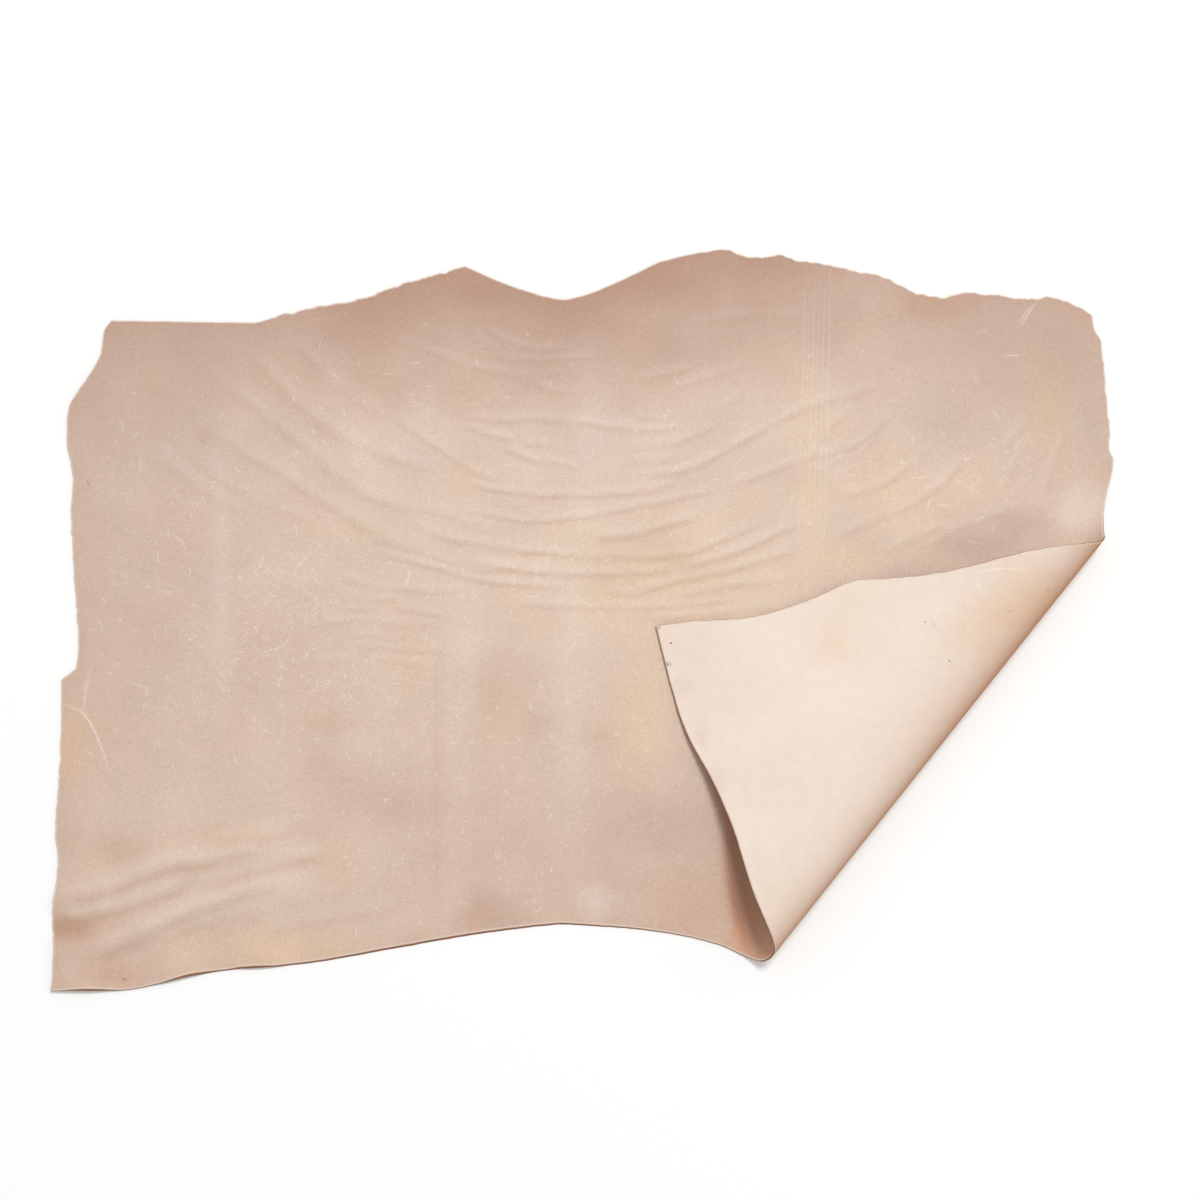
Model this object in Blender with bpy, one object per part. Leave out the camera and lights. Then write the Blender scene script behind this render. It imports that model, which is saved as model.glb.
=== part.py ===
"""A leather split: one tanned hide laid grain side up, its near right corner turned over."""
import math

import bmesh
import bpy
import numpy as np
from mathutils import Vector

# Every size below is in millimetres, measured on the hide as it is cut, lying flat.
MM = 0.001

THICKNESS = 3.0
LAYER_GAP = 1.5

# The cut edge, clockwise from the far left corner. A curve runs through the points of each
# stretch, and the stretches meet in corners. +x is to the right and +y is away from the viewer.
EDGE_STRETCHES = (
    ("far edge, straight trim", ((-641, 388), (-448, 385))),
    ("far edge, left shoulder", ((-448, 385), (-388, 404), (-308, 421), (-228, 449), (-167, 464))),
    ("far edge, neck notch", ((-167, 464), (-106, 438), (-46, 419), (-25, 419), (15, 432), (96, 472))),
    ("far edge, right shoulder", (
        (96, 472), (137, 482), (177, 489), (198, 487), (218, 478), (258, 482), (279, 476),
        (339, 464), (399, 449), (439, 428), (479, 422), (500, 428), (600, 419), (621, 422),
        (660, 405), (675, 394))),
    ("right edge, above the tag", (
        (675, 394), (677, 377), (686, 352), (689, 276), (691, 227), (688, 210), (693, 196))),
    ("right edge, below the tag", (
        (693, 196), (691, 180), (678, 134), (674, 96), (680, 49), (686, -47), (683, -156),
        (691, -229), (697, -267), (684, -328), (676, -400), (685, -487), (687, -529))),
    ("near edge", (
        (687, -529), (606, -525), (543, -518), (476, -498), (412, -484), (328, -474),
        (253, -458), (216, -455), (159, -432), (84, -417), (-16, -409), (-41, -409),
        (-141, -421), (-235, -437), (-333, -454), (-398, -461), (-444, -464), (-499, -473),
        (-571, -488), (-667, -489))),
    ("left edge, below the step", (
        (-667, -489), (-666, -447), (-671, -403), (-669, -330), (-674, -292), (-674, -192),
        (-678, -99))),
    ("left edge, step", ((-678, -99), (-660, -84))),
    ("left edge, above the step", (
        (-660, -84), (-659, -52), (-667, 11), (-679, 123), (-680, 172), (-691, 221),
        (-690, 269), (-670, 304), (-654, 338), (-650, 374), (-641, 388))),
)
EDGE_SPACING = 18.0

# Points of the faceted sheet that lie closer than this become one.
WELD = 2.0

# The turned corner. The nose of the fold, seen from above, runs from its near end at this angle.
NOSE_NEAR_END = (232.0, -439.0)
NOSE_DIRECTION = math.radians(50.2)

# The fold's section, from where the hide leaves the floor to the top of the flap's slope.
NOSE_ARCS = (
    # length, turn in degrees
    (24, 12),
    (26, 52),
    (32, 80),
    (26, 38),
    (40, 12),
)
LANDING_LENGTH = 120.0
SECTION_STEP = 0.5

# Low folds that the hide keeps from hanging. Each dies out at the last point of its crest.
RIDGES = (
    # crest, height, reach to each side
    (((-668, -381), (-579, -352), (-531, -331), (-450, -317), (-357, -303)), 4.0, 28.0),
    (((-607, -389), (-519, -359), (-438, -333), (-372, -321)), 2.2, 20.0),
    (((-676, -449), (-610, -432), (-527, -402), (-449, -373), (-372, -350)), 5.0, 30.0),
    (((-518, -427), (-436, -400), (-354, -380)), 2.0, 22.0),
    (((407, 92), (487, 126), (594, 160)), 7.0, 76.0),
)
RIDGE_FADE = 60.0

# Stretches of the margin that stand a little off the floor.
LIFTS = (
    # middle of the lift, height, radius
    ((-630, -492), 7.0, 62.0),
    ((-508, -476), 5.0, 48.0),
    ((-410, -463), 4.0, 44.0),
    ((668, 380), 4.0, 80.0),
    ((-672, 300), 3.0, 70.0),
    ((-170, 462), 3.0, 60.0),
)

# Cells of the faceted sheet: everywhere, over the nose, where the flap lands, and over low folds.
BODY_CELL = 46.0
NOSE_ROW = 7.5
LANDING_ROWS = 6
CUT_REACH = 1500.0
FINE_PATCHES = (
    # lowest corner, highest corner, cell along x, cell along y
    ((-700, -500), (-340, -275), 24.0, 9.0),
    ((350, 30), (692, 225), 30.0, 16.0),
)

LEATHER_COLOUR = (0.63, 0.46, 0.36, 1.0)
LEATHER_ROUGHNESS = 0.62


def clear_scene():
    for item in list(bpy.data.objects):
        bpy.data.objects.remove(item, do_unlink=True)


def curve_through(points, spacing):
    """Points of a smooth curve through the given ones, about one spacing apart."""
    knots = np.array(points, float)
    padded = np.vstack([2 * knots[0] - knots[1], knots, 2 * knots[-1] - knots[-2]])
    curve = []
    for before, start, end, after in zip(padded, padded[1:], padded[2:], padded[3:]):
        chord = np.linalg.norm(end - start)
        slope_in = (end - before) * chord / (chord + np.linalg.norm(start - before))
        slope_out = (after - start) * chord / (chord + np.linalg.norm(after - end))
        for u in np.arange(0, 1, 1 / max(1, round(chord / spacing))):
            curve.append(
                (2 * u**3 - 3 * u**2 + 1) * start + (u**3 - 2 * u**2 + u) * slope_in
                + (3 * u**2 - 2 * u**3) * end + (u**3 - u**2) * slope_out)
    return curve


def cut_edge():
    """The whole cut edge as a closed ring of points."""
    ring = []
    for _, points in EDGE_STRETCHES:
        ring.extend(curve_through(points, EDGE_SPACING))
    return np.array(ring)


def fold_section():
    """Distance along the sheet, distance across the floor and height, from where it leaves it."""
    slope = math.radians(sum(turn for _, turn in NOSE_ARCS) - 180)
    landing_drop = LANDING_LENGTH * (1 - math.cos(slope)) / slope
    bends = []
    for length, turn in NOSE_ARCS:
        bends += [math.radians(turn) / length] * round(length / SECTION_STEP)
    nose_height = np.sum(np.sin(np.cumsum(bends) * SECTION_STEP)) * SECTION_STEP
    glide = (nose_height - landing_drop - THICKNESS - LAYER_GAP) / math.sin(slope)
    bends += [0.0] * round(glide / SECTION_STEP)
    bends += [-slope / LANDING_LENGTH] * round(LANDING_LENGTH / SECTION_STEP)
    angle = np.cumsum(bends) * SECTION_STEP
    across = np.concatenate([[0], np.cumsum(np.cos(angle)) * SECTION_STEP])
    height = np.concatenate([[0], np.cumsum(np.sin(angle)) * SECTION_STEP])
    along = np.arange(len(across)) * SECTION_STEP
    return along, across, height


ALONG, ACROSS, HEIGHT = fold_section()
NOSE_REACH = ACROSS.max()
ALONG_NOSE = np.array([math.cos(NOSE_DIRECTION), math.sin(NOSE_DIRECTION)])
OUT_OF_NOSE = np.array([math.sin(NOSE_DIRECTION), -math.cos(NOSE_DIRECTION)])


def fold_places(flat):
    """How far points of the flat hide lie along the nose, and past the line where it lifts."""
    offset = flat - np.array(NOSE_NEAR_END)
    return offset @ ALONG_NOSE, offset @ OUT_OF_NOSE + NOSE_REACH


def smooth_step(values):
    clipped = np.clip(values, 0, 1)
    return clipped * clipped * (3 - 2 * clipped)


def ridge_height(flat, crest, height, reach):
    """A rounded crest along a line, dying out towards its last point."""
    line = np.array(crest, float)
    nearest = np.full(len(flat), np.inf)
    left = np.zeros(len(flat))
    lengths = np.linalg.norm(np.diff(line, axis=0), axis=1)
    to_end = lengths.sum() - np.concatenate([[0], np.cumsum(lengths)])
    for start, end, length, remaining in zip(line, line[1:], lengths, to_end):
        share = np.clip((flat - start) @ (end - start) / length**2, 0, 1)
        distance = np.linalg.norm(flat - (start + share[:, None] * (end - start)), axis=1)
        closer = distance < nearest
        nearest = np.where(closer, distance, nearest)
        left = np.where(closer, remaining - share * length, left)
    return height * (1 - smooth_step(nearest / reach)) * smooth_step(left / RIDGE_FADE)


def relief(flat):
    """Height of the low folds and lifted margins over the floor."""
    rise = np.zeros(len(flat))
    for crest, height, reach in RIDGES:
        rise = rise + ridge_height(flat, crest, height, reach)
    for middle, height, radius in LIFTS:
        distance = np.linalg.norm(flat - np.array(middle), axis=1)
        rise = rise + height * (1 - smooth_step(distance / radius))
    _, past_lift = fold_places(flat)
    return rise * smooth_step(-past_lift / RIDGE_FADE)


def lay_down(flat):
    """Where points of the flat hide lie once the corner is turned over, on its middle surface."""
    along, past_lift = fold_places(flat)
    beyond = np.maximum(past_lift - ALONG[-1], 0)
    across = np.interp(past_lift, ALONG, ACROSS) - beyond
    across = np.where(past_lift < 0, past_lift, across) - NOSE_REACH
    height = np.interp(past_lift, ALONG, HEIGHT) + THICKNESS / 2 + relief(flat)
    ground = np.array(NOSE_NEAR_END) + np.outer(along, ALONG_NOSE) + np.outer(across, OUT_OF_NOSE)
    return np.column_stack([ground, height])


def cut_across(mesh, faces, point, direction):
    """Cuts faces along the straight line through a point, square to a direction."""
    edges = {edge for face in faces for edge in face.edges}
    verts = {vert for face in faces for vert in face.verts}
    bmesh.ops.bisect_plane(
        mesh, geom=list(verts) + list(edges) + list(faces), dist=1e-4,
        plane_co=Vector((point[0], point[1], 0)),
        plane_no=Vector((direction[0], direction[1], 0)))


def cut_into_cells(mesh):
    """Rows along the fold, close together over the nose, and columns square to them."""
    start = np.array(NOSE_NEAR_END) - NOSE_REACH * OUT_OF_NOSE
    nose_length = sum(length for length, _ in NOSE_ARCS)
    rows = list(np.arange(-CUT_REACH, -NOSE_ROW, BODY_CELL))
    rows += list(np.arange(-NOSE_ROW, nose_length + NOSE_ROW, NOSE_ROW))
    rows += list(np.linspace(ALONG[-1] - LANDING_LENGTH, ALONG[-1], LANDING_ROWS))
    for row in rows:
        cut_across(mesh, mesh.faces, start + row * OUT_OF_NOSE, OUT_OF_NOSE)
    for column in np.arange(-CUT_REACH, CUT_REACH, BODY_CELL):
        cut_across(mesh, mesh.faces, start + column * ALONG_NOSE, ALONG_NOSE)


def refine_patch(mesh, low, high, cell_x, cell_y):
    """Finer cells over one oblong stretch of the hide."""
    def inside():
        return [
            face for face in mesh.faces
            if low[0] < face.calc_center_median().x < high[0]
            and low[1] < face.calc_center_median().y < high[1]]
    for x in np.arange(low[0], high[0] + cell_x, cell_x):
        cut_across(mesh, inside(), (x, 0), (1, 0))
    for y in np.arange(low[1], high[1] + cell_y, cell_y):
        cut_across(mesh, inside(), (0, y), (0, 1))


def hide_sheet():
    """The faceted middle surface of the hide, laid down."""
    mesh = bmesh.new()
    mesh.faces.new([mesh.verts.new((x, y, 0)) for x, y in cut_edge()[::-1]])
    cut_into_cells(mesh)
    for low, high, cell_x, cell_y in FINE_PATCHES:
        refine_patch(mesh, low, high, cell_x, cell_y)
    bmesh.ops.remove_doubles(mesh, verts=mesh.verts, dist=WELD)
    bmesh.ops.triangulate(mesh, faces=mesh.faces)
    flat = np.array([vert.co[:2] for vert in mesh.verts])
    for vert, place in zip(mesh.verts, lay_down(flat) * MM):
        vert.co = place
    mesh.normal_update()
    sheet = bpy.data.meshes.new("hide")
    mesh.to_mesh(sheet)
    mesh.free()
    return sheet


def leather():
    material = bpy.data.materials.new("leather")
    material.use_nodes = True
    shader = material.node_tree.nodes["Principled BSDF"]
    shader.inputs["Base Color"].default_value = LEATHER_COLOUR
    shader.inputs["Roughness"].default_value = LEATHER_ROUGHNESS
    shader.inputs["Metallic"].default_value = 0.0
    return material


def build_hide():
    hide = bpy.data.objects.new("hide", hide_sheet())
    bpy.context.scene.collection.objects.link(hide)
    hide.data.materials.append(leather())
    hide.data.shade_smooth()
    thickness = hide.modifiers.new("thickness", "SOLIDIFY")
    thickness.thickness = THICKNESS * MM
    thickness.offset = 0.0
    thickness.use_even_offset = True
    thickness.use_rim = True


def main():
    clear_scene()
    build_hide()


main()
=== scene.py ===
"""A tanned leather split lying grain side up on a pale floor, its near right corner turned over."""
import math

import bpy
import numpy as np
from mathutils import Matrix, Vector
from mathutils.geometry import delaunay_2d_cdt


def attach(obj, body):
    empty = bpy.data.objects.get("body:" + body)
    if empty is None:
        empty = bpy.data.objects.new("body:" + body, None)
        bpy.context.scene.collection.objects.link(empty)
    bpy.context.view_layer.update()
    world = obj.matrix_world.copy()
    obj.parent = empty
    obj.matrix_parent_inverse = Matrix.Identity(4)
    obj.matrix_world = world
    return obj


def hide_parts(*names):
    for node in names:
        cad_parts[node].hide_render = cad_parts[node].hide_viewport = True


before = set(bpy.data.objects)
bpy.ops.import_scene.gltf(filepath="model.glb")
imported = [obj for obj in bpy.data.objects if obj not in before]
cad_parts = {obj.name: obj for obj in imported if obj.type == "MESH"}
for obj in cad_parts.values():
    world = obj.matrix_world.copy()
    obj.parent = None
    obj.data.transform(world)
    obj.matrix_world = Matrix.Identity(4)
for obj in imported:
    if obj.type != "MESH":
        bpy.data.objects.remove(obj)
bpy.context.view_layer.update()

# Sizes are in millimetres on the hide as it is cut, lying flat. +x is right, +y is away.
MM = 0.001

# The gap is the least one between the flap and the hide that it rests on.
THICKNESS = 3.0
LAYER_GAP = 1.5

# The cut edge, clockwise from the far left corner, with how ragged each stretch is.
EDGE_STRETCHES = (
    ("far edge, straight trim", 0.3, ((-641, 388), (-448, 385))),
    ("far edge, left shoulder", 2.4, (
        (-448, 385), (-388, 404), (-308, 421), (-228, 449), (-167, 464))),
    ("far edge, neck notch", 0.4, (
        (-167, 464), (-106, 438), (-46, 419), (-25, 419), (15, 432), (96, 472))),
    ("far edge, right shoulder", 2.0, (
        (96, 472), (137, 482), (177, 489), (198, 487), (218, 478), (258, 482), (279, 476),
        (339, 464), (399, 449), (439, 428), (479, 422), (500, 428), (600, 419), (621, 422),
        (660, 405), (675, 394))),
    ("right edge, above the nib", 1.2, (
        (675, 394), (677, 377), (686, 352), (689, 276), (691, 227), (688, 210), (693, 196))),
    ("right edge, below the nib", 0.6, (
        (693, 196), (691, 180), (678, 134), (674, 96), (680, 49), (686, -47), (683, -156),
        (691, -229), (697, -267), (684, -328), (676, -400), (685, -487), (687, -529))),
    ("near edge", 0.3, (
        (687, -529), (606, -525), (543, -518), (476, -498), (412, -484), (328, -474),
        (253, -458), (216, -455), (159, -432), (84, -417), (-16, -409), (-41, -409),
        (-141, -421), (-235, -437), (-333, -454), (-398, -461), (-444, -464), (-499, -473),
        (-571, -488), (-667, -489))),
    ("left edge, below the step", 1.0, (
        (-667, -489), (-666, -447), (-671, -403), (-669, -330), (-674, -292), (-674, -192),
        (-678, -99))),
    ("left edge, step", 0.5, ((-678, -99), (-660, -84))),
    ("left edge, above the step", 1.0, (
        (-660, -84), (-659, -52), (-667, 11), (-679, 123), (-680, 172), (-691, 221),
        (-690, 269), (-670, 304), (-654, 338), (-650, 374), (-641, 388))),
)
EDGE_SPACING = 4.0

# A ragged stretch has broad bites and small nicks in it, and none at its ends.
BITE_WIDTH = 24.0
NICK_WIDTH = 9.0
NICK_SHARE = 0.6
MEAN_BITE = 0.4
BITE_SWING = 0.6
RAGGED_RISE = 12
BITE_SEED = 5
NICK_SEED = 6

# Smooth unevenness is a sum of waves at random headings, each a share of the width asked for.
WAVES = 9
WAVE_SHARES = (0.6, 1.8)
WAVE_SUM = 3.6

# Rows across the cut edge, from the grain side to the flesh side. The pale rows by both rims are
# partly worn leather and partly a painted highlight where the rim catches the light; the dark rows
# between are partly darker cut fibres and partly painted shade on the cut face.
EDGE_ROWS = (
    # how far in from the cut, height over the middle of the sheet, colour
    (2.4, 1.5, "#E3CDBD"),
    (0.8, 1.5, "#E8D6C8"),
    (0.25, 1.25, "#D9BBA4"),
    (0.0, 0.7, "#9C6A50"),
    (0.0, -0.7, "#8E5F49"),
    (0.25, -1.25, "#B08A70"),
    (0.8, -1.5, "#E2CDB9"),
    (2.4, -1.5, "#EFDDCB"),
)

# Where the knife leaned: the flesh side stands out past the grain side, or short of it.
EDGE_SLANTS = (
    # middle, reach, how far
    ((-200, -430), 560, 3.4),
    ((460, -495), 240, -1.8),
    ((684, -90), 160, -1.6),
    ((-300, 420), 170, 1.2),
    ((-618, -491), 48, 3.0),
    ((-492, -476), 46, 2.6),
    ((-418, -463), 34, 1.6),
)

# The turned corner. The nose of the fold, seen from above, runs from its near end at this angle.
NOSE_NEAR_END = (232.0, -439.0)
NOSE_DIRECTION = math.radians(50.2)

# The fold's section, from where the hide leaves the floor to the top of the flap's slope.
NOSE_ARCS = (
    # length, turn in degrees
    (24, 12),
    (26, 52),
    (32, 80),
    (26, 38),
    (40, 12),
)
LANDING_LENGTH = 120.0
SECTION_STEP = 0.5

# Low folds that the hide keeps from hanging. Each dies out at the last point of its crest.
RIDGES = (
    # crest, height, reach to each side
    (((-668, -381), (-579, -352), (-531, -331), (-450, -317), (-357, -303)), 4.0, 28.0),
    (((-607, -389), (-519, -359), (-438, -333), (-372, -321)), 2.2, 20.0),
    (((-676, -449), (-610, -432), (-527, -402), (-449, -373), (-372, -350)), 5.0, 30.0),
    (((-518, -427), (-436, -400), (-354, -380)), 2.0, 22.0),
    (((407, 92), (487, 126), (594, 160)), 7.0, 76.0),
)
RIDGE_FADE = 60.0

# Stretches of the margin that stand a little off the floor.
LIFTS = (
    # middle of the lift, height, radius
    ((-630, -492), 7.0, 62.0),
    ((-508, -476), 5.0, 48.0),
    ((-410, -463), 4.0, 44.0),
    ((668, 380), 4.0, 80.0),
    ((-672, 300), 3.0, 70.0),
    ((-170, 462), 3.0, 60.0),
)

# Growth wrinkles and soft folds: troughs that bow round the neck, each with a low swell on its
# far side. Each trough is painted darker as shade, and each swell paler as a highlight.
WRINKLES = (
    # where, half width, and each trough's depth, as a share of WRINKLE_RELIEF, and its points
    ("long bows on the left", 6.0, (
        (0.34, ((-470, 352), (-395, 275), (-340, 230), (-280, 200), (-190, 170))),
        (0.34, ((-520, 318), (-430, 250), (-380, 210), (-290, 140), (-185, 115), (-105, 85))),
        (0.38, ((-515, 236), (-375, 150), (-320, 115), (-265, 85), (-185, 62))),
        (0.24, ((-408, 360), (-375, 332), (-335, 290), (-270, 248))),
        (0.25, ((-583, 214), (-560, 190), (-515, 153), (-440, 112))),
        (0.20, ((-542, 209), (-500, 172), (-430, 133), (-352, 104))),
        (0.20, ((-430, 33), (-397, 24), (-372, 14))))),
    ("crowded bows left of the middle", 3.9, (
        (0.60, ((-190, 62), (-125, 47), (-20, 37), (125, 42))),
        (0.50, ((-250, 112), (-200, 90), (-140, 76), (-10, 62), (120, 63), (170, 80), (250, 115))),
        (0.50, ((-290, 70), (-235, 55), (-130, 28), (-20, 19))),
        (0.40, ((-300, 86), (-240, 72), (-160, 47), (-100, 38))),
        (0.32, ((-335, 40), (-280, 21), (-220, 15), (-150, 13))),
        (0.26, ((-335, 15), (-305, 5), (-240, 4))),
        (0.30, ((-255, -6), (-185, -18))),
        (0.22, ((-320, -6), (-275, -11))),
        (0.26, ((-375, -34), (-310, -24), (-245, -29), (-180, -34))),
        (0.22, ((-310, -43), (-225, -48))),
        (0.26, ((-310, -56), (-245, -62), (-175, -67))),
        (0.22, ((-395, -80), (-335, -77), (-295, -75))),
        (0.22, ((-275, -76), (-195, -85))))),
    ("below the notch", 3.8, (
        (0.30, ((-270, 360), (-215, 342), (-160, 322), (-95, 308), (-20, 311))),
        (0.22, ((-120, 329), (-50, 329), (20, 337))),
        (0.26, ((-145, 375), (-95, 350), (-40, 345), (-5, 354))),
        (0.20, ((-165, 372), (-140, 350), (-120, 342))),
        (0.24, ((-85, 300), (-30, 283), (5, 287))),
        (0.48, ((-190, 256), (-120, 246), (-45, 246), (80, 232), (140, 240))),
        (0.45, ((-165, 240), (-140, 228), (-95, 216))),
        (0.30, ((-90, 214), (-35, 213))),
        (0.40, ((-120, 208), (-70, 191), (-40, 187), (-10, 176))),
        (0.30, ((-128, 139), (-95, 130), (-70, 112), (-28, 106))),
        (0.40, ((-270, 260), (-220, 221), (-140, 170), (-110, 165))),
        (0.55, ((-182, 163), (-125, 151), (-60, 143), (75, 149), (135, 170))),
        (0.50, ((-185, 127), (-125, 115), (-70, 108), (-15, 112), (60, 127), (190, 155))),
        (0.35, ((-120, -1), (-50, -5), (100, -6), (205, 6))))),
    ("right of the notch", 4.2, (
        (0.45, ((45, 170), (120, 175), (175, 200), (290, 262), (350, 280), (415, 301))),
        (0.40, ((180, 152), (300, 196), (355, 212), (415, 262))),
        (0.60, ((0, 88), (45, 87), (105, 103), (150, 116))),
        (0.50, ((120, 46), (185, 63), (240, 87), (285, 109))),
        (0.45, ((10, 12), (60, 12), (115, 28), (180, 41), (240, 59), (290, 77))),
        (0.40, ((115, 6), (180, 21), (270, 31))),
        (0.35, ((60, -18), (130, -20), (200, -12), (260, -8))),
        (0.26, ((15, 315), (50, 307), (85, 305), (145, 322))),
        (0.40, ((50, 206), (110, 213), (175, 239))),
        (0.30, ((62, 250), (95, 247), (120, 255))),
        (0.30, ((42, 187), (100, 190), (150, 204))),
        (0.28, ((118, 285), (140, 298), (220, 322))),
        (0.20, ((178, 268), (208, 277))),
        (0.25, ((130, 379), (205, 390), (295, 390))),
        (0.28, ((318, 233), (335, 247), (355, 259))),
        (0.28, ((318, 189), (350, 196), (390, 228))),
        (0.35, ((325, 140), (380, 153), (420, 180), (460, 214))),
        (0.40, ((315, 83), (375, 108), (430, 132), (480, 170), (505, 214))),
        (0.28, ((392, 71), (425, 84), (478, 101))),
        (0.30, ((443, 70), (475, 91), (505, 105), (566, 125))),
        (0.28, ((545, 151), (556, 172), (569, 194))),
        (0.28, ((552, 208), (568, 228), (590, 252))),
        (0.35, ((602, 145), (613, 177), (636, 234))))),
    ("folds by the near left corner", 7.0, (
        (0.35, ((-480, -313), (-433, -305), (-365, -296))),
        (0.55, (
            (-672, -386), (-630, -378), (-598, -372), (-562, -354), (-524, -342), (-475, -335),
            (-432, -325), (-400, -319))),
        (0.60, ((-672, -404), (-630, -403), (-575, -391), (-533, -375), (-495, -362))),
        (0.60, ((-490, -370), (-445, -353), (-403, -342), (-358, -330), (-325, -326))),
        (0.55, ((-630, -454), (-590, -442), (-536, -417), (-497, -400), (-447, -382), (-408, -364))),
        (0.25, ((-425, -371), (-390, -366))),
        (0.35, ((-525, -422), (-482, -411), (-443, -402), (-400, -392))),
        (0.28, ((-415, -421), (-355, -412), (-298, -400), (-235, -391))))),
)

# Along a wrinkle: the share of its length that each end fades over, and how far it wanders.
WRINKLE_FADE = 0.16
WRINKLE_WANDER = 0.9
WANDER_WIDTH = 45.0
WRINKLE_STRENGTH = 0.85
WRINKLE_UNEVENNESS = 0.3
UNEVENNESS_WIDTH = 60.0
UNEVENNESS_SEED = 90

# Across it: how deep a full trough is, then where the swell lies and how wide and high it is, as
# shares of the trough's half width and depth, then how much painted shade darkens a trough and how
# much painted highlight pales a swell. This painted shade and highlight does most of what the eye
# sees.
WRINKLE_RELIEF = 0.2
SWELL_OFFSET = 2.1
SWELL_WIDTH = 1.5
SWELL_HEIGHT = 0.5
TROUGH_SHADE = 0.58
SWELL_HIGHLIGHT = 0.34
ROWS_ACROSS_A_WRINKLE = (-3.6, -2.7, -1.8, -0.9, 0, 0.9, 1.8)
WRINKLE_CELL = 5.0

# Lattices of points over the sheet, and the rows and rings of points that hold small marks.
GRAIN_CELL = 7.5
NOSE_CELL = 5.0
FLESH_CELL = 12.0
NOSE_CELLS_FROM = -10.0
NOSE_CELLS_TO = 165.0
CLEAR_OF_EDGE = 2.0
LINE_CELL = 3.0
LINE_END_SHARE = 0.3
ROWS_ACROSS_A_LINE = (-1.7, 0, 1.7)
SPOT_RINGS = ((0.0, 1), (0.9, 6), (1.8, 10))
SPOT_CORE = 0.8
SMALLEST_CELL = 0.5
LATTICE_ROW = 0.866

# The dark margin along the far edge: deepest round the notch, with a thin rim to either side.
FAR_MARGIN_WIDTH = 190.0
FAR_MARGIN_MIDDLE = -25.0
FAR_MARGIN_HALF_LENGTH = 420.0
FAR_MARGIN_TAPER = 160.0
FAR_MARGIN_SHARE = 0.38
FAR_MARGIN_MORE_AT_MIDDLE = 0.55
FAR_MARGIN_WANDER = 0.08
FAR_MARGIN_WAVE = 90.0
FAR_MARGIN_SEED = 31
RIM_SHARE = 0.2
RIM_WIDTH = 30.0

# The fainter margin along the other edges.
NEAR_MARGIN_WIDTH = 35.0
NEAR_MARGIN_SHARE = 0.35
NEAR_MARGIN_MEAN = 0.8
NEAR_MARGIN_SWING = 0.25
NEAR_MARGIN_WAVE = 60.0
NEAR_MARGIN_SEED = 32

# Colours as the eye sees them in soft daylight.
HIDE_PINK = "#D8BFAE"
FAR_MARGIN = "#B28B75"
NEAR_MARGIN = "#C09A81"
# The colour of the painted shade in the wrinkles' troughs.
WRINKLE_SHADE = "#B48E73"
# Pale grain for bands, lines and scratches, and for the painted highlight on the wrinkles' swells.
PALE_GRAIN_AND_HIGHLIGHT = "#F2E5D9"
FLESH_CREAM = "#EFDFD2"
FLESH_WARM = "#EBD6C2"
FLOOR_WHITE = "#FEFEFD"

# Where the flesh side bends over the nose and turns from the light it is painted tan brown as shade,
# in a band that widens along the fold.
NOSE_SHADE = "#B57F57"
NOSE_SHADE_SHARE = 1.3
NOSE_SHADE_PEAK = 60.0
NOSE_SHADE_FADE = 20.0
NOSE_SHADE_WIDENING = 0.5
NOSE_LENGTH = 600.0

# Painted warm shade on the grain inside the near end of the turned corner, where the flap shades it
# and light bounced off the hide reddens it.
FOLD_SHADE = "#D2946F"
FOLD_SHADE_SHARE = 0.45
FOLD_SHADE_REACH = 22.0
FOLD_SHADE_LENGTH = 330.0

# Slow drifts of a whole side towards a colour.
GRAIN_DRIFTS = (
    # colour, mean share, swing, width of a swell, seed
    ("#DDBB93", 0.06, 0.08, 120, 33),
    ("#C4A69B", 0.05, 0.07, 70, 34),
)
FLESH_DRIFTS = (
    # colour, mean share, swing, width of a swell, seed
    (FLESH_WARM, 0.25, 0.25, 120, 51),
)

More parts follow.
